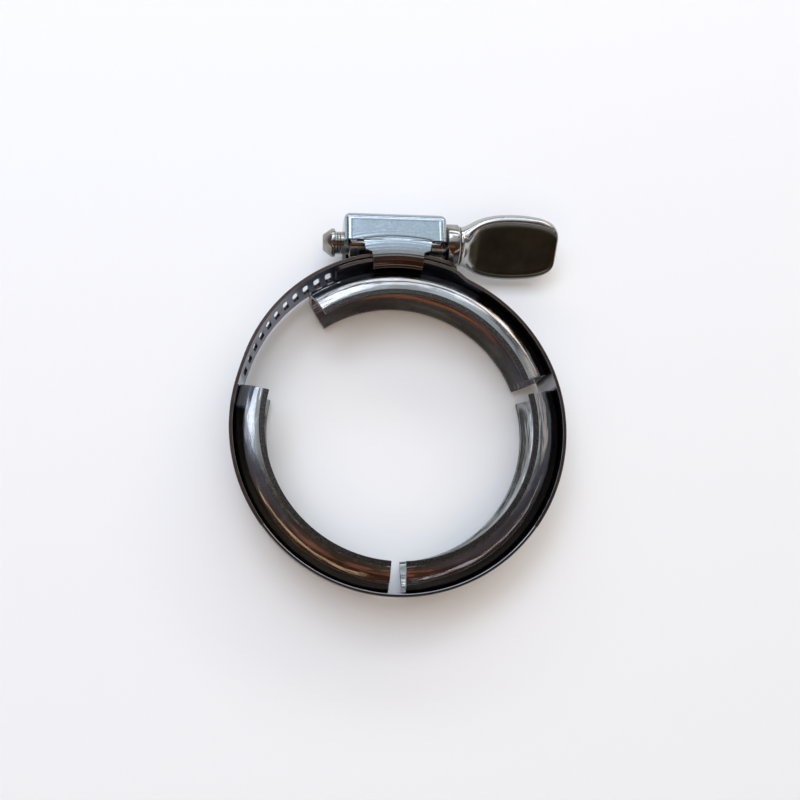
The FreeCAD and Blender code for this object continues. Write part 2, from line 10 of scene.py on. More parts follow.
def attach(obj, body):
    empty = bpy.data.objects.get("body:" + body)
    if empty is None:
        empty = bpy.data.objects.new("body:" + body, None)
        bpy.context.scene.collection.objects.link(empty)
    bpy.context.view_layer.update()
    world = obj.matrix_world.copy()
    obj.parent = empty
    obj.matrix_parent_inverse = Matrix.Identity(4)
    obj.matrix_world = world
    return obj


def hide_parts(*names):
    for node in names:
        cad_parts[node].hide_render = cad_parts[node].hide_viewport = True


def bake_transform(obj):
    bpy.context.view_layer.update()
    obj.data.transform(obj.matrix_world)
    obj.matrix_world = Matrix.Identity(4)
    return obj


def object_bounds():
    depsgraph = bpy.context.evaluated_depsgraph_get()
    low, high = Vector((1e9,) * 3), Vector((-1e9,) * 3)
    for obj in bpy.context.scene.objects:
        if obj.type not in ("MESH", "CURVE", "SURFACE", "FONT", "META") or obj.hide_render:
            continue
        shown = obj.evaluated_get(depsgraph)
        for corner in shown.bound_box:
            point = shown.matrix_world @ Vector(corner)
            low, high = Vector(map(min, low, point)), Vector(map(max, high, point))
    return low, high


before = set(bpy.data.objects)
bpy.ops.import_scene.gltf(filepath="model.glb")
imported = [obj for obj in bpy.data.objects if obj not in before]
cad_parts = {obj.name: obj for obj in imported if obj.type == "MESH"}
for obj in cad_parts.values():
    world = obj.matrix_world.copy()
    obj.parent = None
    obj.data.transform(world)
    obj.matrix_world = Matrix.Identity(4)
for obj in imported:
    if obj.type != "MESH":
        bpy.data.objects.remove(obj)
cad_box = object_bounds()

# The camera stands nearly over the ring, a little below and to the left of its centre, as in the photograph.
# It looks down on the clamp, which lies flat, and the photograph's frame is square.
camera_data = bpy.data.cameras.new("camera")
camera_data.sensor_width = 36.0
camera_data.lens = 36.56
camera_data.clip_start = 0.005
camera = bpy.data.objects.new("camera", camera_data)
bpy.context.scene.collection.objects.link(camera)
camera.location = (-0.0241, -0.0335, 0.1872)
camera.rotation_mode = "ZYX"
camera.rotation_euler = (0.2112, -0.1278, 0.0046)
bpy.context.scene.camera = camera


# The floor is a plain pale sheet under the clamp. Strip boxes and a panel stand behind the worm, and smaller
# ones round the sides, in a dim room that is brown in front and blue-grey behind, so that the polished steel
# shows dark and bright bands.
FLOOR_RADIUS = 0.75
LAMP_DISTANCE = 0.9


def linear(hex_colour):
    """An sRGB colour written as six hex digits, as the linear values that Blender takes."""
    values = [int(hex_colour[i : i + 2], 16) / 255 for i in (0, 2, 4)]
    lifted = [c / 12.92 if c <= 0.04045 else ((c + 0.055) / 1.055) ** 2.4 for c in values]
    return (*lifted, 1.0)


def add_node(owner, kind, inputs=None, **settings):
    """Adds a node with its settings, and sets or links its inputs by name or number."""
    node = owner.node_tree.nodes.new(kind)
    for name, value in settings.items():
        setattr(node, name, value)
    for key, value in (inputs or {}).items():
        if isinstance(value, bpy.types.NodeSocket):
            owner.node_tree.links.new(value, node.inputs[key])
        else:
            node.inputs[key].default_value = value
    return node


def mixed(owner, share, first, second):
    """The colour between two others, as the share goes from 0 to 1."""
    return add_node(
        owner, "ShaderNodeMix", {0: share, 6: first, 7: second}, data_type="RGBA"
    ).outputs[2]


def ramp(owner, value, start, end, first=0.0, last=1.0):
    """A value that goes from first to last while another goes from start to end."""
    places = {0: value, 1: start, 2: end, 3: first, 4: last}
    return add_node(owner, "ShaderNodeMapRange", places).outputs[0]


def new_material(name):
    """An empty material, ready for its nodes."""
    material = bpy.data.materials.new(name)
    material.use_nodes = True
    material.node_tree.nodes.clear()
    return material


def surface(material, **inputs):
    """The material's shader with its inputs, linked to the output."""
    named = {key.replace("_", " "): value for key, value in inputs.items()}
    shader = add_node(material, "ShaderNodeBsdfPrincipled", named)
    add_node(material, "ShaderNodeOutputMaterial", {"Surface": shader.outputs["BSDF"]})


bm = bmesh.new()
bmesh.ops.create_circle(bm, cap_ends=True, segments=96, radius=FLOOR_RADIUS)
bmesh.ops.translate(bm, vec=(0, 0, cad_box[0][2]), verts=bm.verts)
floor_mesh = bpy.data.meshes.new("floor")
bm.to_mesh(floor_mesh)
bm.free()
floor = bpy.data.objects.new("floor", floor_mesh)
bpy.context.scene.collection.objects.link(floor)
paper = new_material("matt_white_paper")
surface(paper, Base_Color=linear("F5F5F4"), Roughness=0.9)
floor_mesh.materials.append(paper)

world = bpy.data.worlds.new("studio")
bpy.context.scene.world = world
world.use_nodes = True
world.node_tree.nodes.clear()
where = add_node(world, "ShaderNodeTexCoord")
split = add_node(world, "ShaderNodeSeparateXYZ", {0: where.outputs["Generated"]})
# brown in front, blue-grey behind
share = ramp(world, split.outputs["Y"], -0.5, 0.6)
room = mixed(world, share, linear("5A3B2C"), linear("7F93AB"))
# pale walls stand round the floor, below the dim room
low = ramp(world, split.outputs["Z"], 0.26, 0.14)
walls = mixed(world, low, room, (1, 1, 1, 1))
# the ceiling right over the clamp is brown
high = ramp(world, split.outputs["Z"], 0.93, 0.99)
ceiling = mixed(world, high, walls, linear("5A4C38"))
glow = add_node(world, "ShaderNodeBackground", {"Color": ceiling})
add_node(world, "ShaderNodeOutputWorld", {"Surface": glow.outputs[0]})

# each soft box: azimuth and elevation in degrees, width and height in metres, watts, tint
for name, azimuth, elevation, width, height, power, tint in (
    ("strip_box_low", 86, 27, 1.5, 0.16, 2.45, "F4F7FF"),
    ("strip_box_high", 92, 47, 1.0, 0.16, 1.4, "F4F7FF"),
    ("panel_behind_worm", 92, 69, 0.9, 0.52, 1.35, "E6F0F6"),
    ("strip_upper_left", 128, 57, 0.75, 0.3, 2.2, "DCE8FF"),
    ("soft_box_left", 166, 42, 0.22, 0.3, 0.2, "E6EFFF"),
    ("soft_box_right", 20, 47, 0.35, 0.24, 0.2, "FFF3E2"),
    ("strip_warm_right", 43, 29, 0.42, 0.16, 0.75, "FFE2B8"),
    ("strip_amber", 260, 67, 0.55, 0.17, 0.24, "B4683F"),
    ("strip_low_left", 228, 42, 0.8, 0.13, 0.5, "FFD9AE"),
    ("strip_low_right", 318, 40, 0.9, 0.07, 0.3, "E6F0FF"),
    ("panel_overhead", 270, 76, 1.1, 1.1, 3.1, "FFF9EC"),
):
    lamp_data = bpy.data.lights.new(name, "AREA")
    lamp_data.shape = "RECTANGLE"
    lamp_data.size = width
    lamp_data.size_y = height
    lamp_data.energy = power
    lamp_data.color = linear(tint)[:3]
    lamp = bpy.data.objects.new(name, lamp_data)
    bpy.context.scene.collection.objects.link(lamp)
    turn, rise = math.radians(azimuth), math.radians(elevation)
    out = Vector((math.cos(rise) * math.cos(turn), math.cos(rise) * math.sin(turn), math.sin(rise)))
    lamp.location = out * LAMP_DISTANCE
    lamp.rotation_euler = (-out).to_track_quat("-Z", "Y").to_euler()
# the overhead panel lights the floor, and the steel mirrors the dim ceiling in its place
bpy.data.objects["panel_overhead"].visible_glossy = False
bpy.context.scene.view_settings.view_transform = "Standard"

# The band is one rolled strip of spring stainless sheet, 12.7 mm wide and 0.8 mm thick. It carries the
# three shoes, and its slotted end runs back through the housing, over its own plain end. It bends at
# three flex lines, and is made in three stretches that join behind the shoes.

# from here on lengths are in millimetres, and angles in degrees where math.radians doesn't turn them
MM = 0.001
RING = 38.43
BAND_WIDTH = 12.7
BAND_SHEET = 0.8
STRIP_RISE = 3.8
STRIP_RADIUS = 37.3
STRIP_TAIL = 66.9
STRIP_PLAY = 0.44
SLOT_PITCH = 3.175
SLOT_COUNT = 19
SLOT_HALF = 0.82
SLOT_STRAIGHT = 2.15
FIRST_SLOT = 77.3
WORM_RADIUS = 4.95
SLANT_REACH = 5.0
FIXED_CORNER, TAIL_CORNER = 1.5, 3.0
# half the length of the painted highlight at each flex line
HIGHLIGHT_HALF = 1.6
RIGHT_FLEX, BOTTOM_FLEX, LEFT_FLEX = 15.8, 267.45, 165.5
RIGHT_JOIN, LEFT_JOIN = -38.5, 216.0
JOIN_OVERLAP = 0.7
JOIN_THINNER, JOIN_NARROWER = 0.02, 0.9985


def polar(radius, angle, centre=(0.0, 0.0)):
    """The point at a radius and an angle in degrees about a centre, in the ring's plane."""
    turn = math.radians(angle)
    return Vector((centre[0] + radius * math.cos(turn), centre[1] + radius * math.sin(turn)))


def run_length(run):
    """The length of one arc of a path."""
    return abs(math.radians(run[3] - run[2])) * run[1]


def along(path, length):
    """The point at a length along a path of arcs (centre, radius, first angle, last angle)."""
    for run in path:
        if length <= run_length(run) + 1e-6 or run is path[-1]:
            break
        length -= run_length(run)
    centre, radius, first, last = run
    angle = first + (last - first) * length / run_length(run)
    return polar(radius, angle, centre)


def laid_out_grid(columns, rows):
    """A flat grid whose lines lie at the given places, its columns along x and its rows along y."""
    grid = bmesh.new()
    bmesh.ops.create_grid(grid, x_segments=len(columns) - 1, y_segments=len(rows) - 1, size=0.5)
    for vert in grid.verts:
        vert.co.x = columns[round((vert.co.x + 0.5) * (len(columns) - 1))]
        vert.co.y = rows[round((vert.co.y + 0.5) * (len(rows) - 1))]
    return grid


def spaced(first, last, step):
    """Places from first to last, about one step apart."""
    count = max(1, round(abs(last - first) / step))
    return [first + (last - first) * i / count for i in range(count + 1)]


def round_corners(grid, end, inwards, radius):
    """Draws the strip's width in near one end, so that its two corners are round."""
    for vert in grid.verts:
        depth = (vert.co.x - end) * inwards
        if depth < radius:
            half = BAND_WIDTH / 2 - radius + math.sqrt(max(radius**2 - (radius - depth) ** 2, 0.0))
            vert.co.y *= half / (BAND_WIDTH / 2)


def add_strip_map(grid):
    """Keeps each corner's place along and across the flat strip, in millimetres, as the piece's UV map."""
    layer = grid.loops.layers.uv.new("strip_mm")
    for face in grid.faces:
        for loop in face.loops:
            loop[layer].uv = loop.vert.co.xy


def mark_clear(grid, clear, bright):
    """Marks the stretches of the flat strip that stand clear of the shoes (1), or take a painted highlight
    (2).
    """
    layer = grid.verts.layers.float.new("clear")
    for vert in grid.verts:
        vert[layer] = 1.0 if clear[0] <= vert.co.x <= clear[1] else 0.0
        if bright[0] <= vert.co.x <= bright[1]:
            vert[layer] = 2.0


def bend_strip(grid, path):
    """Bends the flat strip along its path, and turns millimetres to metres."""
    for vert in grid.verts:
        place = along(path, vert.co.x)
        vert.co = Vector((place.x, place.y, vert.co.y)) * MM


def new_piece(name, grid, *materials):
    """A piece of the clamp from its mesh, smooth, with its materials."""
    mesh = bpy.data.meshes.new(name)
    grid.to_mesh(mesh)
    grid.free()
    mesh.polygons.foreach_set("use_smooth", [True] * len(mesh.polygons))
    for material in materials:
        mesh.materials.append(material)
    piece = bpy.data.objects.new(name, mesh)
    bpy.context.scene.collection.objects.link(piece)
    return piece


def soft_edges(piece, width, angle=35, segments=3, material=-1):
    """Rounds the piece's sharp edges, as tumbling or filing leaves them."""
    bevel = piece.modifiers.new("soft_edges", "BEVEL")
    bevel.width = width * MM
    bevel.segments = segments
    bevel.limit_method = "ANGLE"
    bevel.angle_limit = math.radians(angle)
    bevel.harden_normals = True
    bevel.material = material


def sheet_metal(piece, thickness, offset=0.0, rim=0, back=0):
    """Gives a surface the thickness of its sheet; its cut edges and its back take materials further on."""
    wall = piece.modifiers.new("sheet", "SOLIDIFY")
    wall.thickness = thickness * MM
    wall.offset = offset
    wall.use_even_offset = True
    wall.material_offset_rim = rim
    wall.material_offset = back


def noise(owner, size, detail, roughness=0.5):
    """Noise fixed to the object, with spots about one size across."""
    place = add_node(owner, "ShaderNodeTexCoord").outputs["Object"]
    inputs = {"Vector": place, "Scale": 1 / (size * MM), "Detail": detail, "Roughness": roughness}
    return add_node(owner, "ShaderNodeTexNoise", inputs).outputs[0]


def stretched_noise(owner, places, scales, detail):
    """Noise over the given places, with a scale of its own along each of their axes."""
    mapped = add_node(owner, "ShaderNodeMapping", {0: places, 3: scales}).outputs[0]
    inputs = {"Vector": mapped, "Scale": 1.0, "Detail": detail}
    return add_node(owner, "ShaderNodeTexNoise", inputs).outputs[0]


def bump(owner, height, strength, distance, under=None):
    """Bumps up to a distance high, laid over the bumps under them where there are any."""
    inputs = {"Height": height, "Strength": strength, "Distance": distance * MM}
    if under is not None:
        inputs["Normal"] = under
    return add_node(owner, "ShaderNodeBump", inputs).outputs[0]


def rolled_strip(name, painted_light):
    """Rolled stainless strip with fine rolling lines; its inner face may take painted shade, reflection and
    highlight.
    """
    steel = new_material(name)
    flat_map = add_node(steel, "ShaderNodeUVMap", uv_map="strip_mm")
    rolling = stretched_noise(steel, flat_map.outputs[0], (0.12, 9.0, 1.0), 4.0)
    # handling marks are a few millimetres across
    tone = ramp(steel, noise(steel, 6, 5.0, 0.6), 0.35, 0.7)
    # on the inner face the greys are blue, a painted reflection of the blue-grey room
    plain, marked = ("7C8CA8", "8E99AA") if painted_light else ("7E8389", "96999B")
    colour = mixed(steel, tone, linear(plain), linear(marked))
    if painted_light:
        # painted shade behind the shoes, the painted blue-grey reflection where the strip stands clear, and
        # a painted highlight at the flex lines
        clear = add_node(steel, "ShaderNodeAttribute", attribute_name="clear")
        colour = mixed(steel, clear.outputs["Fac"], linear("35302C"), colour)
        # painted highlight where the strip crosses a flex line
        painted_highlight = ramp(steel, clear.outputs["Fac"], 1.0, 2.0)
        colour = mixed(steel, painted_highlight, colour, linear("D0D6DC"))
    grain = ramp(steel, rolling, 0.2, 0.8, 0.24, 0.4)
    ripple = bump(steel, rolling, 0.2, 0.02)
    surface(steel, Base_Color=colour, Metallic=1.0, Roughness=grain, Normal=ripple)
    return steel


outer_steel = rolled_strip("rolled_stainless_outside", False)
# the inner face carries painted shade, a painted reflection and a painted highlight
inner_steel = rolled_strip("rolled_stainless_inner_painted_light", True)

# slit edges: sheared, browner and duller than the rolled faces
slit_steel = new_material("slit_edge_stainless")
shear = noise(slit_steel, 2.5, 3.0)
slit_colour = mixed(slit_steel, shear, linear("2E2622"), linear("54443A"))
surface(slit_steel, Base_Color=slit_colour, Metallic=1.0, Roughness=0.38)
strip_steels = (outer_steel, inner_steel, slit_steel)

# rows across the strip: its edges, the places near them, the ends of the slots and the middle
rows = [-6.35, -5.6, -3.4, -SLOT_STRAIGHT, 0.0, SLOT_STRAIGHT, 3.4, 5.6, 6.35]
strip_centre = (0.0, STRIP_RISE)

# right-hand stretch: from the lower right shoe over the right-hand gap to the plain end under the housing
FIXED_RISE, RISE_BEND, FIXED_END = 63.0, 8.0, 114.0
fixed_radius = STRIP_RADIUS - BAND_SHEET - STRIP_PLAY
middle = Vector(strip_centre)
outer_bend = polar(RING + RISE_BEND, FIXED_RISE)
reach = fixed_radius - RISE_BEND
away = (outer_bend - middle).length
swing = math.acos((reach**2 + away**2 - (2 * RISE_BEND) ** 2) / (2 * reach * away))
over = math.degrees(math.atan2(outer_bend.y - middle.y, outer_bend.x - middle.x) + swing)
inner_bend = polar(reach, over, strip_centre)
turn_over = math.degrees(math.atan2(inner_bend.y - outer_bend.y, inner_bend.x - outer_bend.x))
right_path = [
    ((0.0, 0.0), RING, RIGHT_JOIN, FIXED_RISE),
    (tuple(outer_bend), RISE_BEND, FIXED_RISE + 180, turn_over % 360),
    (tuple(inner_bend), RISE_BEND, turn_over + 180, over),
    (strip_centre, fixed_radius, over, FIXED_END),
]
right_length = sum(run_length(run) for run in right_path)
columns = spaced(0.0, right_length - FIXED_CORNER, 1.0)
columns += [right_length - FIXED_CORNER * (1 - math.sin(math.radians(a))) for a in (15, 30, 45, 60, 75, 90)]
strip = laid_out_grid(columns, rows)
round_corners(strip, right_length, -1, FIXED_CORNER)
add_strip_map(strip)
flexed = math.radians(RIGHT_FLEX - RIGHT_JOIN) * RING
# it stands clear from 3 mm before its rise
clear_from = run_length(right_path[0]) - 3.0
# with a painted highlight at the right-hand flex line
mark_clear(strip, (clear_from, right_length), (flexed - HIGHLIGHT_HALF, flexed + HIGHLIGHT_HALF))
bend_strip(strip, right_path)
band_right = new_piece("band_right", strip, *strip_steels)
sheet_metal(band_right, BAND_SHEET, rim=2, back=1)
soft_edges(band_right, 0.2, material=0)
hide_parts("band_fixed_length")

# bottom stretch: from one lower shoe over the bottom gap to the other; it runs on a little inside its
# neighbours, a hair thinner, so that no groove shows at the joins
bottom_path = [((0.0, 0.0), RING, LEFT_JOIN - JOIN_OVERLAP, RIGHT_JOIN + 360 + JOIN_OVERLAP)]
columns = spaced(0.0, run_length(bottom_path[0]), 1.0)
strip = laid_out_grid(columns, [row * JOIN_NARROWER for row in rows])
add_strip_map(strip)
flexed = math.radians(BOTTOM_FLEX - LEFT_JOIN + JOIN_OVERLAP) * RING
# with a painted highlight at the bottom flex line
mark_clear(strip, (flexed, flexed), (flexed - HIGHLIGHT_HALF, flexed + HIGHLIGHT_HALF))
bend_strip(strip, bottom_path)
band_bottom = new_piece("band_bottom", strip, *strip_steels)
sheet_metal(band_bottom, BAND_SHEET - JOIN_THINNER, rim=2, back=1)
soft_edges(band_bottom, 0.2, material=0)
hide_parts("band_middle_length", "band_shoe_length")

# left-hand stretch: the slotted end, from its round-cornered tail through the housing to the lower left shoe
flex = polar(1.0, LEFT_FLEX)
tighter = RING - STRIP_RADIUS
ease = (STRIP_RISE**2 - tighter**2) / (2 * (tighter - flex.y * STRIP_RISE))
ease_centre = flex * -ease
ease_angle = math.degrees(math.atan2(STRIP_RISE - ease_centre.y, -ease_centre.x))
left_path = [
    (strip_centre, STRIP_RADIUS, STRIP_TAIL, ease_angle),
    (tuple(ease_centre), RING + ease, ease_angle, LEFT_FLEX),
    ((0.0, 0.0), RING, LEFT_FLEX, LEFT_JOIN),
]
left_length = sum(run_length(run) for run in left_path)
first_slot = math.radians(FIRST_SLOT - STRIP_TAIL) * STRIP_RADIUS
slots = [first_slot + SLOT_PITCH * i for i in range(SLOT_COUNT)]
# the columns follow the round tail and the round ends of each slot
columns = [TAIL_CORNER * (1 - math.cos(math.radians(a))) for a in (0, 15, 30, 45, 60, 75, 90)] + [4.2]
for slot in slots:
    columns.append(slot - SLOT_PITCH / 2)
    columns += [slot - SLOT_HALF * math.cos(math.radians(22.5 * i)) for i in range(9)]
columns += spaced(slots[-1] + SLOT_PITCH / 2, left_length, 1.0)
strip = laid_out_grid(columns, rows)
holes = [
    face
    for face in strip.faces
    if abs(face.calc_center_median().y) < SLOT_STRAIGHT
    and any(abs(face.calc_center_median().x - slot) < SLOT_HALF for slot in slots)
]
bmesh.ops.delete(strip, geom=holes, context="FACES")
for vert in strip.verts:
    near = min(slots, key=lambda slot: abs(slot - vert.co.x))
    if abs(vert.co.x - near) < SLOT_HALF and abs(abs(vert.co.y) - SLOT_STRAIGHT) < 0.01:
        vert.co.y += math.copysign(math.sqrt(SLOT_HALF**2 - (vert.co.x - near) ** 2), vert.co.y)
add_strip_map(strip)
flexed = run_length(left_path[0]) + run_length(left_path[1])
# it takes a painted highlight from 2 mm before the flex line to 5 mm behind it
mark_clear(strip, (0.0, flexed), (flexed - 2.0, flexed + 5.0))
# the slots lean as the worm's thread does
lead = SLOT_PITCH / (2 * math.pi * WORM_RADIUS)
for vert in strip.verts:
    if slots[0] - SLOT_PITCH < vert.co.x < slots[-1] + SLOT_PITCH and abs(vert.co.y) < SLANT_REACH:
        vert.co.x += vert.co.y * lead
round_corners(strip, 0.0, 1, TAIL_CORNER)
bend_strip(strip, left_path)
band_left = new_piece("band_left", strip, *strip_steels)
sheet_metal(band_left, BAND_SHEET, rim=2, back=1)
soft_edges(band_left, 0.2, material=0)
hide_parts("band_slotted_length")


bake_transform(band_right)
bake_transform(band_bottom)
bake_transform(band_left)

# Each shoe is a V section pressed from 1.2 mm stainless sheet, rolled round the ring and spot-welded to the
# band at its crown. Its two lips are ground flat on their sides and round on their edges.
CROWN = 38.0
CROWN_BEND = 2.0
SHOE_SHEET = 1.2
LEG_SLOPE = math.radians(20)
LIP_RADIUS = 31.0
LIP_FLAT = 1.25
LIP_SPREAD = 6.2
LEG_BULGE = 0.45
LEG_RADIUS = 35
SPRUNG_REACH = 15
UPPER_SHOE_END, LEFT_SHOE_START = 123.8, 165.7
SPIN_STEP = 1.5
SHOE_GAP = math.degrees(1.6 / LIP_RADIUS)


def bulged(first, last):
    """Points between the two ends of a leg, which the press leaves a little rounded outwards."""
    step = Vector(last) - Vector(first)
    out = Vector((-step.y, step.x)).normalized() * (LEG_BULGE if step.y > 0 else -LEG_BULGE)
    points = [Vector(first) + step * t + out * -4 * t * (1 - t) for t in (i / 8 for i in range(1, 8))]
    return [tuple(point) for point in points]


def shoe_section():
    """The V section's outline on the xz plane, in millimetres, its crown outwards."""
    rise = CROWN - CROWN_BEND - LIP_RADIUS - LIP_FLAT
    bend_z = LIP_SPREAD - rise * math.tan(LEG_SLOPE) - CROWN_BEND / math.cos(LEG_SLOPE)
    centre_x = CROWN - CROWN_BEND
    turns = [math.radians(a) for a in spaced(0, 70, 8)]
    inner_bend_radius = CROWN_BEND - SHOE_SHEET
    outer = [(centre_x + CROWN_BEND * math.cos(a), bend_z + CROWN_BEND * math.sin(a)) for a in turns]
    inner = [
        (centre_x + inner_bend_radius * math.cos(a), bend_z + inner_bend_radius * math.sin(a))
        for a in reversed(turns)
    ]
    edge = SHOE_SHEET / math.cos(LEG_SLOPE) - LIP_FLAT * math.tan(LEG_SLOPE)
    lip = [
        (LIP_RADIUS + LIP_FLAT, LIP_SPREAD),
        (LIP_RADIUS, LIP_SPREAD),
        (LIP_RADIUS, LIP_SPREAD - edge),
    ]
    upper = outer + bulged(outer[-1], lip[0]) + lip + bulged(lip[-1], inner[0]) + inner
    return upper + [(x, -z) for x, z in reversed(upper)]


# pressed stainless: polished, with draw lines along the ring, shallow waves left by the press and scuffs
shoe_steel = new_material("pressed_stainless")
place = add_node(shoe_steel, "ShaderNodeTexCoord")
# the angle round the ring is counted from the right-hand gap, so that no shoe crosses its seam
turned_back = add_node(
    shoe_steel,
    "ShaderNodeMapping",
    {0: place.outputs["Object"], 2: (0, 0, math.radians(180 - RIGHT_FLEX))},
)
angle_round = add_node(
    shoe_steel, "ShaderNodeTexGradient", {0: turned_back.outputs[0]}, gradient_type="RADIAL"
)
from_axis = add_node(
    shoe_steel, "ShaderNodeVectorMath", {0: turned_back.outputs[0], 1: (1, 1, 0)}, operation="MULTIPLY"
)
out_from = add_node(shoe_steel, "ShaderNodeVectorMath", {0: from_axis.outputs[0]}, operation="LENGTH")
round_ring = add_node(
    shoe_steel,
    "ShaderNodeMath",
    {0: angle_round.outputs[1], 1: 2 * math.pi * LEG_RADIUS * MM},
    operation="MULTIPLY",
)
up = add_node(shoe_steel, "ShaderNodeSeparateXYZ", {0: place.outputs["Object"]})
unrolled = add_node(
    shoe_steel,
    "ShaderNodeCombineXYZ",
    {0: round_ring.outputs[0], 1: out_from.outputs["Value"], 2: up.outputs["Z"]},
)
# waves are some 13 mm long and 2 mm across, deeper near the two cut ends, where the sheet sprang;
# draw lines are 25 mm long and 0.3 mm across
wave_scales = (1 / (13 * MM), 1 / (2.2 * MM), 1 / (2.2 * MM))
waves = stretched_noise(shoe_steel, unrolled.outputs[0], wave_scales, 2.5)
line_scales = (1 / (25 * MM), 1 / (0.3 * MM), 1 / (0.3 * MM))
lines = stretched_noise(shoe_steel, unrolled.outputs[0], line_scales, 2.0)
shoe_colour = mixed(shoe_steel, waves, linear("BCBDBC"), linear("4A4137"))
scuffed = ramp(shoe_steel, noise(shoe_steel, 1.6, 3.0, 0.6), 0.5, 0.8, 0.13, 0.26)
near_end = add_node(shoe_steel, "ShaderNodeAttribute", attribute_name="near_end")
wave_share = ramp(shoe_steel, near_end.outputs["Fac"], 0.0, 1.0, 0.24, 0.85)
wave_bump = bump(shoe_steel, waves, wave_share, 0.5)
line_bump = bump(shoe_steel, lines, 0.3, 0.02, wave_bump)
surface(shoe_steel, Base_Color=shoe_colour, Metallic=1.0, Roughness=scuffed, Normal=line_bump)

# ground stainless: coarse grit marks, grey with bright specks
ground_steel = new_material("ground_stainless")
grit = noise(ground_steel, 0.24, 2.0, 0.6)
specks = ramp(ground_steel, grit, 0.42, 0.7)
lip_colour = mixed(ground_steel, specks, linear("2C2926"), linear("5C5854"))
grit_bump = bump(ground_steel, grit, 0.6, 0.05)
surface(ground_steel, Base_Color=lip_colour, Metallic=1.0, Roughness=0.42, Normal=grit_bump)

for name, first, last, body in (
    ("upper_shoe", RIGHT_FLEX + SHOE_GAP, UPPER_SHOE_END, "housing_side"),
    ("lower_right_shoe", BOTTOM_FLEX - 360 + SHOE_GAP, RIGHT_FLEX - SHOE_GAP, "right_side"),
    ("lower_left_shoe", LEFT_SHOE_START, BOTTOM_FLEX - SHOE_GAP, "left_side"),
):
    bm = bmesh.new()
    end_layer = bm.verts.layers.float.new("near_end")
    verts = [bm.verts.new((x * MM, 0, z * MM)) for x, z in shoe_section()]
    section = bm.faces.new(verts)
    bmesh.ops.spin(
        bm,
        geom=[section, *section.edges, *section.verts],
        cent=(0, 0, 0),
        axis=(0, 0, 1),
        angle=math.radians(last - first),
        steps=round((last - first) / SPIN_STEP),
    )
    bmesh.ops.rotate(
        bm, cent=(0, 0, 0), matrix=Matrix.Rotation(math.radians(first), 3, "Z"), verts=bm.verts
    )
    bmesh.ops.recalc_face_normals(bm, faces=bm.faces)
    # how near each corner is to a cut end of the shoe
    for vert in bm.verts:
        past = (math.degrees(math.atan2(vert.co.y, vert.co.x)) - first + 1) % 360 - 1
        from_end = math.radians(min(past, last - first - past)) * LEG_RADIUS
        vert[end_layer] = max(0.0, 1.0 - from_end / SPRUNG_REACH)
    # the lips are ground, the rest is as pressed
    for face in bm.faces:
        middle_point = face.calc_center_median()
        if middle_point.xy.length < (LIP_RADIUS + LIP_FLAT) * MM and len(face.verts) == 4:
            on_side = abs(middle_point.z) > (LIP_SPREAD - 0.02) * MM
            on_edge = middle_point.xy.length < (LIP_RADIUS + 0.05) * MM
            face.material_index = 1 if on_side or on_edge else 0
    shoe = new_piece(name + "_pressed", bm, shoe_steel, ground_steel)
    soft_edges(shoe, 0.14, angle=15)
    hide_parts(name)
    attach(shoe, body)

# The housing is one drawn stainless saddle over the worm, 0.9 mm thick. Its side straps pass beside the
# two layers of band and are clinched under them, which leaves a bead where each strap leaves the side.
SCREW_Y = 46.0
HOUSING_LEFT, HOUSING_RIGHT = -12.7, 12.0
HOUSING_SHEET = 0.9
SIDE_OUT = 7.45
ROOF_TOP = 52.05
ROOF_RADIUS = 22.0
SIDE_FOOT = 44.1
EDGE_ROUND = 1.4
LEFT_NOTCH, RIGHT_NOTCH = 2.83, 3.08

# drawn stainless: bright, with faint draw lines and small dents, and darker and browner as painted shade low
# on the straps
housing_steel = new_material("drawn_stainless")
place = add_node(housing_steel, "ShaderNodeTexCoord")
dents = noise(housing_steel, 4.5, 2.0)
haze = noise(housing_steel, 1.1, 3.0, 0.55)
height = add_node(housing_steel, "ShaderNodeSeparateXYZ", {0: place.outputs["Object"]})
# painted shade: from 43.5 mm down to 38 mm the straps are coloured darker and browner, where they curve
# round the band
painted_shade_low = ramp(housing_steel, height.outputs["Y"], 43.5 * MM, 38.0 * MM)
# a mottled skin, as the drawing die leaves it
mottled = ramp(housing_steel, noise(housing_steel, 0.3, 3.0, 0.7), 0.36, 0.62)
skin = mixed(housing_steel, mottled, linear("98A3AA"), linear("ABB4B8"))
housing_colour = mixed(housing_steel, painted_shade_low, skin, linear("6B5D52"))
hazed = ramp(housing_steel, haze, 0.45, 0.8, 0.14, 0.26)
# the draw leaves beads 0.8 mm apart on the side, arcs about the strip's centre over the strap
from_centre = add_node(
    housing_steel,
    "ShaderNodeVectorMath",
    {0: place.outputs["Object"], 1: (0, STRIP_RISE * MM, 0)},
    operation="SUBTRACT",
)
in_plane = add_node(
    housing_steel, "ShaderNodeVectorMath", {0: from_centre.outputs[0], 1: (1, 1, 0)}, operation="MULTIPLY"
)
arc = add_node(housing_steel, "ShaderNodeVectorMath", {0: in_plane.outputs[0]}, operation="LENGTH")
bead = add_node(
    housing_steel,
    "ShaderNodeMath",
    {0: arc.outputs["Value"], 1: 2 * math.pi / (0.8 * MM)},
    operation="MULTIPLY",
)
bead = add_node(housing_steel, "ShaderNodeMath", {0: bead.outputs[0]}, operation="SINE")
fade = ramp(housing_steel, arc.outputs["Value"], 43.4 * MM, 41.8 * MM)
bead = add_node(
    housing_steel, "ShaderNodeMath", {0: bead.outputs[0], 1: fade}, operation="MULTIPLY"
)
dent_bump = bump(housing_steel, dents, 0.05, 0.2)
bead_bump = bump(housing_steel, bead.outputs[0], 0.2, 0.04, dent_bump)
haze_bump = bump(housing_steel, haze, 0.12, 0.02, bead_bump)
surface(housing_steel, Base_Color=housing_colour, Metallic=1.0, Roughness=hazed, Normal=haze_bump)

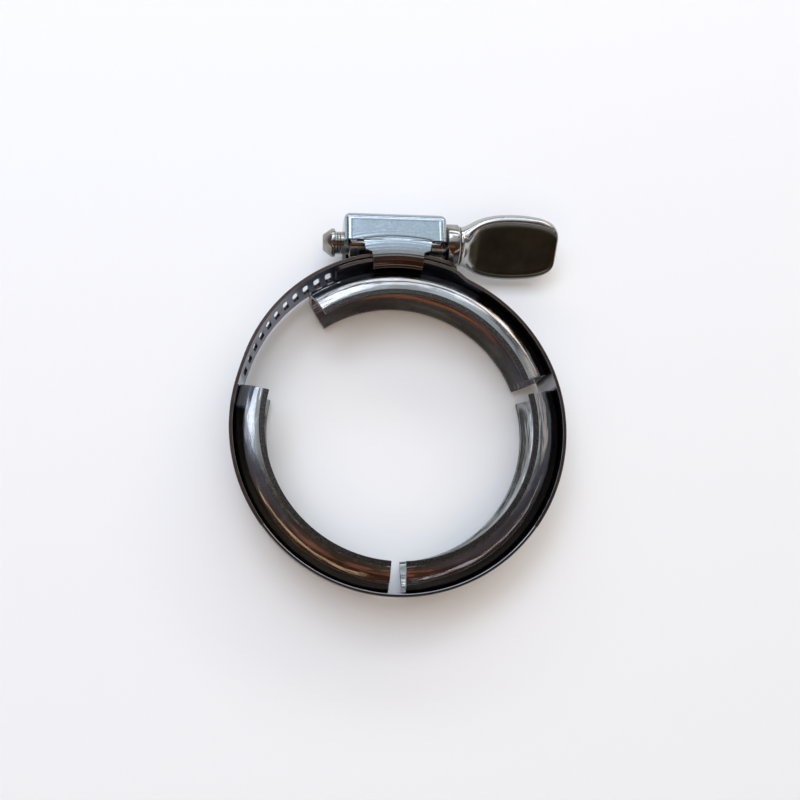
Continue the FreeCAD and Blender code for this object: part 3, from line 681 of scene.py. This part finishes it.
# the drawn cap: a box open below, with round edges and a roof that is domed across the worm
cap = bmesh.new()
bmesh.ops.create_cube(cap, size=1.0)
length = HOUSING_RIGHT - HOUSING_LEFT
for vert in cap.verts:
    vert.co.x = HOUSING_LEFT + (vert.co.x + 0.5) * length
    vert.co.y = SIDE_FOOT + (vert.co.y + 0.5) * (ROOF_TOP - SIDE_FOOT)
    vert.co.z = vert.co.z * 2 * SIDE_OUT
bottom = [face for face in cap.faces if face.normal.y < -0.9]
bmesh.ops.delete(cap, geom=bottom, context="FACES_ONLY")
rounded = [edge for edge in cap.edges if len(edge.link_faces) == 2]
bmesh.ops.bevel(
    cap, geom=rounded, offset=EDGE_ROUND, segments=6, profile=0.5, affect="EDGES", material=-1
)
# each side lies a little deeper than its border
sides = [face for face in cap.faces if abs(face.normal.z) > 0.99 and face.calc_area() > 50]
for step, (border, depth) in enumerate(((0.06, 0.0), (0.36, 0.0), (0.2, -0.09), (0.06, 0.0)), 1):
    bmesh.ops.inset_individual(cap, faces=sides, thickness=border, depth=depth)
    for vert in {v for face in sides for v in face.verts if v.co.y < SIDE_FOOT + 1}:
        vert.co.y = SIDE_FOOT + 0.02 * step
across = [e for e in cap.edges if abs((e.verts[0].co - e.verts[1].co).z) > 11]
bmesh.ops.subdivide_edges(cap, edges=across, cuts=11, use_grid_fill=True)
lengthwise = [e for e in cap.edges if abs((e.verts[0].co - e.verts[1].co).x) > 20]
bmesh.ops.subdivide_edges(cap, edges=lengthwise, cuts=15, use_grid_fill=True)
# the roof is domed, and the dome fades out down the sides
for vert in cap.verts:
    drop = ROOF_RADIUS - math.sqrt(ROOF_RADIUS**2 - vert.co.z**2)
    share = min(1.0, max(0.0, (vert.co.y - SCREW_Y) / (ROOF_TOP - 1.5 - SCREW_Y)))
    vert.co.y -= drop * share


def end_wall(edge_x):
    """The faces of the cap's end wall that stands at a place along the screw."""
    return [f for f in cap.faces if abs(f.calc_center_median().x - edge_x) < 0.01]


def cut_wall(edge_x, place, direction):
    """Cuts the faces of an end wall along a plane."""
    wall = end_wall(edge_x)
    edges = dict.fromkeys(e for f in wall for e in f.edges)
    verts = dict.fromkeys(v for f in wall for v in f.verts)
    bmesh.ops.bisect_plane(cap, geom=[*wall, *edges, *verts], plane_co=place, plane_no=direction)


# the end walls are notched for the screw, open below
for edge_x, radius in ((HOUSING_LEFT, LEFT_NOTCH), (HOUSING_RIGHT, RIGHT_NOTCH)):
    cut_wall(edge_x, (0, 0, -radius), (0, 0, 1))
    cut_wall(edge_x, (0, 0, radius), (0, 0, 1))
    cut_wall(edge_x, (0, SCREW_Y, 0), (0, 1, 0))
    notch = [
        f
        for f in end_wall(edge_x)
        if abs(f.calc_center_median().z) < radius and f.calc_center_median().y < SCREW_Y
    ]
    bmesh.ops.delete(cap, geom=notch, context="FACES")
    for vert in cap.verts:
        at_wall = abs(vert.co.x - edge_x) < 0.01 and abs(vert.co.y - SCREW_Y) < 0.01
        if at_wall and abs(vert.co.z) < radius - 0.01:
            vert.co.y += math.sqrt(radius**2 - vert.co.z**2)
bmesh.ops.recalc_face_normals(cap, faces=cap.faces)
bmesh.ops.scale(cap, vec=(MM, MM, MM), verts=cap.verts)
housing_cap = new_piece("housing_cap", cap, housing_steel)
sheet_metal(housing_cap, HOUSING_SHEET, offset=-1.0)
soft_edges(housing_cap, 0.12, angle=50, segments=2)
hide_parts("housing")
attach(housing_cap, "housing_side")

# the straps: turned about the strip's own centre, from the bead at the side down to the tabs under the band
STRAP_HALF = 11.6
SHOULDER, SHOULDER_FOOT = 38.5, 37.7
STRAP_MIDDLE = 38.5
NARROWER, FLARE = 0.18, 0.012
strap_line = [
    (41.9, 7.42),
    (41.5, 7.45),
    (41.15, 7.36),
    (40.9, 7.22),
    (40.6, 7.36),
    (40.2, 7.45),
    (39.3, 7.45),
    (38.9, 7.45),
    (38.5, 7.45),
    (38.1, 7.45),
    (37.7, 7.44),
    (36.8, 7.38),
    (36.0, 7.22),
    (35.2, 6.9),
    (34.55, 6.4),
    (34.1, 5.8),
    (34.05, 5.2),
    (34.4, 4.5),
    (34.71, 4.0),
    (34.71, 2.4),
    (34.71, 0.65),
]
straps = bmesh.new()
for side in (1, -1):
    verts = [straps.verts.new((0, r, side * z)) for r, z in strap_line]
    edges = [straps.edges.new(pair) for pair in zip(verts, verts[1:])]
    bmesh.ops.rotate(
        straps,
        cent=(0, 0, 0),
        matrix=Matrix.Rotation(math.radians(-STRAP_HALF), 3, "Z"),
        verts=verts,
    )
    bmesh.ops.spin(
        straps,
        geom=[*verts, *edges],
        cent=(0, 0, 0),
        axis=(0, 0, 1),
        angle=math.radians(2 * STRAP_HALF),
        steps=16,
    )
# below its shoulders each strap is narrower, down to the clinch
for vert in straps.verts:
    radius = vert.co.xy.length
    shoulder = min(1.0, max(0.0, (SHOULDER - radius) / (SHOULDER - SHOULDER_FOOT)))
    narrow = shoulder * NARROWER - max(0.0, SHOULDER_FOOT - radius) * FLARE
    turn = math.atan2(vert.co.x, vert.co.y) * (1.0 - max(narrow, 0.0))
    vert.co.xy = Vector((math.sin(turn), math.cos(turn))) * radius
bmesh.ops.translate(straps, vec=(0, STRIP_RISE, 0), verts=straps.verts)
# the faces look outwards at the sides, and down under the band
for face in straps.faces:
    centre_point = face.calc_center_median()
    outwards = Vector((0, centre_point.y - STRAP_MIDDLE, centre_point.z))
    at_side = abs(centre_point.z) > 4
    if (at_side and face.normal.dot(outwards) < 0) or (not at_side and face.normal.y > 0):
        face.normal_flip()
bmesh.ops.scale(straps, vec=(MM, MM, MM), verts=straps.verts)
housing_straps = new_piece("housing_straps", straps, housing_steel)
sheet_metal(housing_straps, HOUSING_SHEET, offset=-1.0)
soft_edges(housing_straps, 0.14, angle=50)
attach(housing_straps, "housing_side")

# The worm screw is turned from one stainless bar: bullet tail, grooved neck, journal, worm thread, shank and
# collar. It runs in the housing's end walls, and its thread engages the slots of the band below.
WORM_ROOT = 3.7
COLLAR_LEFT, COLLAR_RIGHT = 12.4, 16.0
COLLAR_RADIUS = 5.3
SCREW_PROFILE = [
    (-17.7, 0.0),
    (-17.7, 1.75),
    (-17.6, 1.95),
    (-15.7, 3.35),
    (-15.5, 3.45),
    (-14.95, 3.45),
    (-14.75, 3.3),
    (-14.7, 2.75),
    (-14.3, 2.72),
    (-14.15, 2.6),
    (-14.0, 2.72),
    (-13.6, 2.72),
    (-13.45, 2.6),
    (-13.3, 2.72),
    (-12.9, 2.74),
    (-11.45, 2.75),
    (-11.3, 3.35),
    (-11.15, 3.5),
    (-9.25, 3.5),
    (-9.1, 3.4),
    (-9.1, WORM_ROOT),
    (8.2, WORM_ROOT),
    (8.9, 3.0),
    (COLLAR_LEFT, 3.0),
    (COLLAR_LEFT, 4.75),
    (COLLAR_LEFT + 0.08, 4.88),
    (COLLAR_LEFT + 0.42, 5.24),
    (COLLAR_LEFT + 0.55, COLLAR_RADIUS),
    (COLLAR_RIGHT - 0.55, COLLAR_RADIUS),
    (COLLAR_RIGHT - 0.42, 5.24),
    (COLLAR_RIGHT - 0.08, 4.88),
    (COLLAR_RIGHT, 4.75),
    (COLLAR_RIGHT, 0.0),
]

# turned stainless: bright, with fine rings from the lathe round the bar
screw_steel = new_material("turned_stainless")
place = add_node(screw_steel, "ShaderNodeTexCoord")
# tool marks are 0.12 mm apart along the bar, drawn at 0.35 mm so that they show
rings = add_node(
    screw_steel,
    "ShaderNodeTexWave",
    {"Vector": place.outputs["Object"], "Scale": 0.31 / (0.35 * MM), "Distortion": 1.5, "Detail": 2.0},
    wave_type="BANDS",
    bands_direction="X",
)
smears = noise(screw_steel, 2.2, 4.0)
screw_colour = mixed(screw_steel, smears, linear("BDBBB4"), linear("574A3B"))
smeared = ramp(screw_steel, smears, 0.3, 0.7, 0.1, 0.2)
ring_bump = bump(screw_steel, rings.outputs[0], 0.12, 0.02)
surface(screw_steel, Base_Color=screw_colour, Metallic=1.0, Roughness=smeared, Normal=ring_bump)

turned = bmesh.new()
verts = [turned.verts.new((x, SCREW_Y + r, 0)) for x, r in SCREW_PROFILE]
edges = [turned.edges.new(pair) for pair in zip(verts, verts[1:])]
bmesh.ops.spin(
    turned,
    geom=[*verts, *edges],
    cent=(0, SCREW_Y, 0),
    axis=(1, 0, 0),
    angle=math.radians(360),
    steps=64,
    use_merge=True,
)
bmesh.ops.remove_doubles(turned, verts=turned.verts, dist=1e-4)
# the worm thread: a trapezoid turned along the bar, one slot pitch a turn, right-handed
THREAD_START = -7.62
THREAD_TURNS = 4.6
thread_foot = WORM_ROOT - 0.1
corners = [(-0.68, thread_foot), (-0.35, WORM_RADIUS), (0.35, WORM_RADIUS), (0.68, thread_foot)]
verts = [turned.verts.new((THREAD_START + x, SCREW_Y - r, 0)) for x, r in corners]
section = turned.faces.new(verts)
steps = round(THREAD_TURNS * 36)
bmesh.ops.spin(
    turned,
    geom=[section, *section.edges, *section.verts],
    cent=(0, SCREW_Y, 0),
    axis=(1, 0, 0),
    dvec=(THREAD_TURNS * SLOT_PITCH / steps, 0, 0),
    angle=math.radians(360 * THREAD_TURNS),
    steps=steps,
)
bmesh.ops.recalc_face_normals(turned, faces=turned.faces)
bmesh.ops.scale(turned, vec=(MM, MM, MM), verts=turned.verts)
screw_bar = new_piece("screw_bar", turned, screw_steel)
screw_bar.data.set_sharp_from_angle(angle=math.radians(32))
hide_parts("worm_screw")
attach(screw_bar, "screw")

# The thumb key is cast stainless, tumbled bright: a round flange against the collar, a neck, and a spade
# with dished faces inside a raised rim. It stands turned nearly half way out of the ring's plane.
KEY_TURN = math.radians(42)
KEY_RIM = 1.5
KEY_DISH = 0.6
DISH_FULL = 20.8
# stations along the key: place, half height, half thickness, squareness of the section, share of the dish
KEY_STATIONS = [
    (16.02, 4.7, 4.7, 0.0, 0.0),
    (16.12, 4.9, 4.9, 0.0, 0.0),
    (16.6, 4.9, 4.8, 0.0, 0.0),
    (17.1, 4.9, 4.3, 0.0, 0.0),
    (17.8, 5.25, 3.6, 0.15, 0.0),
    (18.6, 5.75, 3.0, 0.4, 0.15),
    (19.6, 6.4, 2.4, 0.7, 0.6),
    (20.8, 7.0, 2.0, 1.0, 1.0),
    (22.4, 7.6, 1.85, 1.0, 1.0),
    (24.6, 8.1, 1.8, 1.0, 1.0),
    (27.6, 8.4, 1.8, 1.0, 1.0),
    (31.0, 8.4, 1.8, 1.0, 1.0),
    (34.2, 8.15, 1.8, 1.0, 1.0),
    (36.8, 7.7, 1.8, 1.0, 1.0),
    (38.8, 6.95, 1.8, 1.0, 1.0),
    (39.9, 6.15, 1.8, 1.0, 0.9),
    (40.6, 5.3, 1.75, 1.0, 0.2),
    (41.0, 4.4, 1.4, 1.0, 0.0),
    (41.25, 3.4, 0.9, 1.0, 0.0),
    (41.32, 2.4, 0.5, 1.0, 0.0),
]


def key_section(half, thick, square, dish):
    """One section of the key: a circle at the flange, and a flat, rimmed and dished oval at the spade."""
    flat = [
        (half, 0.0),
        (half - 0.12, 0.42 * thick),
        (half - 0.45, 0.82 * thick),
        (half - 1.0, thick),
        (half - KEY_RIM, thick * 0.99),
        (half - KEY_RIM - 0.1, thick - 0.55 * KEY_DISH * dish),
        (half - KEY_RIM - 0.9, thick - KEY_DISH * dish),
        (half * 0.34, thick - KEY_DISH * 1.12 * dish),
        (0.0, thick - KEY_DISH * 1.18 * dish),
    ]
    quarter = []
    for i, (y, z) in enumerate(flat):
        turn = math.radians(90 * i / (len(flat) - 1))
        around = (half * math.cos(turn), thick * math.sin(turn))
        quarter.append(
            (around[0] + (max(y, 0.0) - around[0]) * square, around[1] + (z - around[1]) * square)
        )
    top = quarter + [(-y, z) for y, z in reversed(quarter[:-1])]
    return top + [(y, -z) for y, z in reversed(top[1:-1])]


# cast stainless: smooth high spots, the dish left darker and browner with a fine orange-peel skin
key_steel = new_material("cast_stainless")
dished = add_node(key_steel, "ShaderNodeAttribute", attribute_name="dish")
patina = noise(key_steel, 5, 5.0, 0.65)
deep = mixed(key_steel, patina, linear("2B2921"), linear("524D3E"))
key_colour = mixed(key_steel, dished.outputs["Fac"], linear("B3B3B0"), deep)
key_rough = ramp(key_steel, dished.outputs["Fac"], 0.0, 1.0, 0.13, 0.36)
peel_bump = bump(key_steel, noise(key_steel, 0.8, 3.0), 0.3, 0.06)
surface(key_steel, Base_Color=key_colour, Metallic=1.0, Roughness=key_rough, Normal=peel_bump)

spade = bmesh.new()
dish_layer = spade.verts.layers.float.new("dish")
count = len(key_section(5.0, 5.0, 0.0, 0.0))
ring = bmesh.ops.create_circle(spade, cap_ends=True, segments=count, radius=1.0)["verts"]
loop_edges = list(spade.edges)
rings = [ring]
for _ in KEY_STATIONS[1:]:
    extruded = bmesh.ops.extrude_edge_only(spade, edges=loop_edges)["geom"]
    loop_edges = [g for g in extruded if isinstance(g, bmesh.types.BMEdge) and g.is_boundary]
    rings.append([g for g in extruded if isinstance(g, bmesh.types.BMVert)])
bmesh.ops.contextual_create(spade, geom=loop_edges)
for verts, (x, half, thick, square, dish) in zip(rings, KEY_STATIONS):
    section = key_section(half, thick, square, dish)
    ordered = sorted(verts, key=lambda v: math.atan2(v.co.y, v.co.x) % (2 * math.pi))
    for vert, (y, z) in zip(ordered, section):
        # the dish's darker colour reaches out over the lower rim
        border = (KEY_RIM - 0.3 if y > 0 else 0.5) + max(0.0, DISH_FULL - x)
        inside = max(0.0, min(1.0, (half - border - abs(y)) / 0.6))
        vert[dish_layer] = inside if abs(z) > 0.4 * thick and dish > 0 else 0.0
        vert.co = (x, y, z)
bmesh.ops.recalc_face_normals(spade, faces=spade.faces)
bmesh.ops.rotate(
    spade, cent=(0, 0, 0), matrix=Matrix.Rotation(KEY_TURN, 3, "X"), verts=spade.verts
)
bmesh.ops.translate(spade, vec=(0, SCREW_Y, 0), verts=spade.verts)
bmesh.ops.scale(spade, vec=(MM, MM, MM), verts=spade.verts)
key_spade = new_piece("key_spade", spade, key_steel)
smooth = key_spade.modifiers.new("smooth", "SUBSURF")
smooth.levels = smooth.render_levels = 2
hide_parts("thumb_key")
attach(key_spade, "screw")
